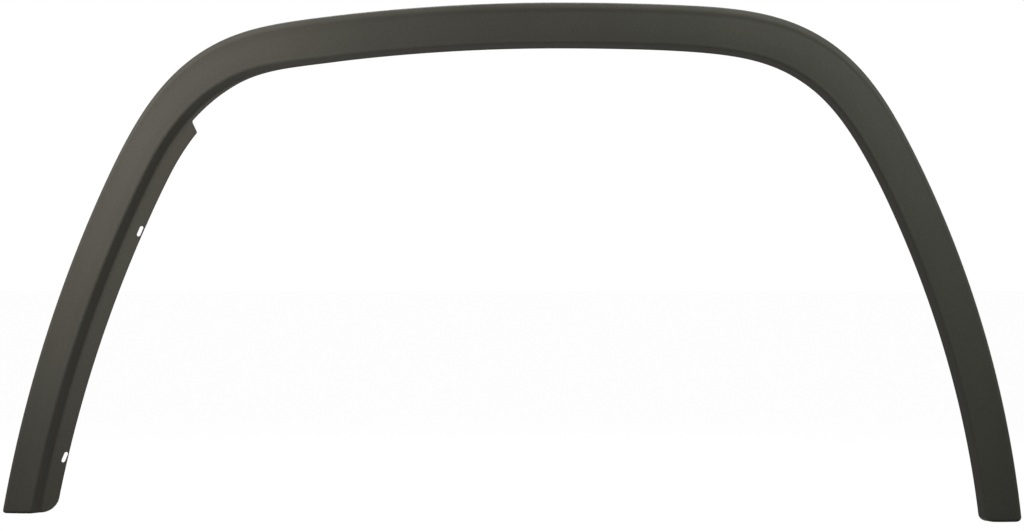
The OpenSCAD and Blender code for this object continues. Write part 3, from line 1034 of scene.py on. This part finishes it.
# %% Floor
FLOOR_SIZE, FLOOR_GAP = 60.0, 0.5 * MM

deselect()
bpy.ops.mesh.primitive_grid_add(
    x_subdivisions=4, y_subdivisions=4, size=FLOOR_SIZE,
    location=(CAMERA_X, 0, cad_low.z - FLOOR_GAP),
)
floor = bpy.context.object
floor.name = "floor"
bpy.ops.object.transform_apply(location=True, rotation=True, scale=True)
print("floor at", round(cad_low.z - FLOOR_GAP, 4), "m, under the feet")

# %% White to the camera
def seen_directly(tree):
    """1 for what the camera, a mirror or a pane of glass would see, and 0 for soft light."""
    path = tree.nodes.new("ShaderNodeLightPath")
    last_value = path.outputs["Is Camera Ray"]
    for name in ("Is Glossy Ray", "Is Transmission Ray"):
        most = tree.nodes.new("ShaderNodeMath")
        most.operation = "MAXIMUM"
        tree.links.new(last_value, most.inputs[0])
        tree.links.new(path.outputs[name], most.inputs[1])
        last_value = most.outputs["Value"]
    return last_value


# %% The floor's paper
SHADOW_KEPT = 0.12
FLOOR_GLOW, FLOOR_RETURN = 1.12, 0.2

paper = bpy.data.materials.new("white_floor")
paper.use_nodes = True
tree = paper.node_tree
tree.nodes.clear()
lit = tree.nodes.new("ShaderNodeBsdfDiffuse")
lit.inputs["Color"].default_value = (FLOOR_RETURN, FLOOR_RETURN, FLOOR_RETURN, 1)
glow = tree.nodes.new("ShaderNodeEmission")
glow.inputs["Strength"].default_value = FLOOR_GLOW
share_seen = tree.nodes.new("ShaderNodeMath")
share_seen.operation = "MULTIPLY"
share_seen.inputs[1].default_value = 1 - SHADOW_KEPT
tree.links.new(seen_directly(tree), share_seen.inputs[0])
blend = tree.nodes.new("ShaderNodeMixShader")
tree.links.new(share_seen.outputs["Value"], blend.inputs["Fac"])
tree.links.new(lit.outputs["BSDF"], blend.inputs[1])
tree.links.new(glow.outputs["Emission"], blend.inputs[2])
out = tree.nodes.new("ShaderNodeOutputMaterial")
tree.links.new(blend.outputs["Shader"], out.inputs["Surface"])
floor.data.materials.append(paper)
print("paper nodes:", len(paper.node_tree.nodes))

# %% World
WORLD_SOFT = 0.02
world = bpy.data.worlds.new("studio")
bpy.context.scene.world = world
world.use_nodes = True
tree = world.node_tree
tree.nodes.clear()
soft = tree.nodes.new("ShaderNodeBackground")
soft.inputs["Strength"].default_value = WORLD_SOFT
white = tree.nodes.new("ShaderNodeBackground")
for background in (soft, white):
    background.inputs["Color"].default_value = (1, 1, 1, 1)
white.inputs["Strength"].default_value = 1.0
blend = tree.nodes.new("ShaderNodeMixShader")
tree.links.new(seen_directly(tree), blend.inputs["Fac"])
tree.links.new(soft.outputs["Background"], blend.inputs[1])
tree.links.new(white.outputs["Background"], blend.inputs[2])
out = tree.nodes.new("ShaderNodeOutputWorld")
tree.links.new(blend.outputs["Shader"], out.inputs["Surface"])

# %% [markdown]
# ## The lamps
# The photograph is brightest at the nose shoulder and falls off down both legs, so a small key
# lamp stands close to that shoulder, a weaker one close to the other, and a faint one by the door
# leg. The wall inside the arch stays dark, so no lamp stands low inside it. A long lamp grazes the
# outer edge from above, which draws the bright line along the bead and leaves the valley beside
# it dark. The plastic looks a trace warmer in the photograph at the nose than at the door leg,
# so the lamps of the two sides have a faint tint. The last lamp stands high behind the trim. It
# lights the hidden side for views from behind and touches the top of the bead, and from there it
# can't reach the wall inside the arch.

# %% Lamps
def lamp(name, position, target, size, power, colour=(1, 1, 1)):
    deselect()
    bpy.ops.object.light_add(type="AREA", location=position)
    made = bpy.context.object
    made.name = name
    made.rotation_euler = (Vector(target) - Vector(position)).to_track_quat("-Z", "Y").to_euler()
    made.data.shape = "RECTANGLE"
    made.data.size, made.data.size_y = size
    made.data.energy = power
    made.data.color = colour
    made.visible_camera = False


WARM, COOL = (1.0, 0.955, 0.945), (0.965, 1.0, 0.985)
lamp("key_lamp", (-0.50, -0.42, -0.06), (-0.40, 0, -0.10), (0.2, 0.2), 3.14, WARM)
lamp("fill_lamp", (0.42, -0.38, 0.10), (0.27, 0, -0.04), (0.2, 0.2), 1.56, COOL)
lamp("top_lamp", (-0.05, -0.12, 0.60), (0, 0, 0), (1.2, 0.2), 2.08)
lamp("high_left_lamp", (-0.70, -0.50, 0.60), (-0.20, 0, -0.10), (0.4, 0.4), 0.73)
lamp("door_leg_lamp", (0.55, -0.42, -0.30), (0.40, 0, -0.30), (0.3, 0.3), 0.36, COOL)
lamp("back_lamp", (-0.05, 1.0, 0.80), (-0.05, 0, -0.20), (0.8, 0.8), 24.0)

bpy.context.scene.view_settings.view_transform = "Standard"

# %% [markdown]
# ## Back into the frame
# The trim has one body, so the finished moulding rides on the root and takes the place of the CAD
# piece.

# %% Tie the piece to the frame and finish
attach(shell, "root")
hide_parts("arch_trim")
deselect()
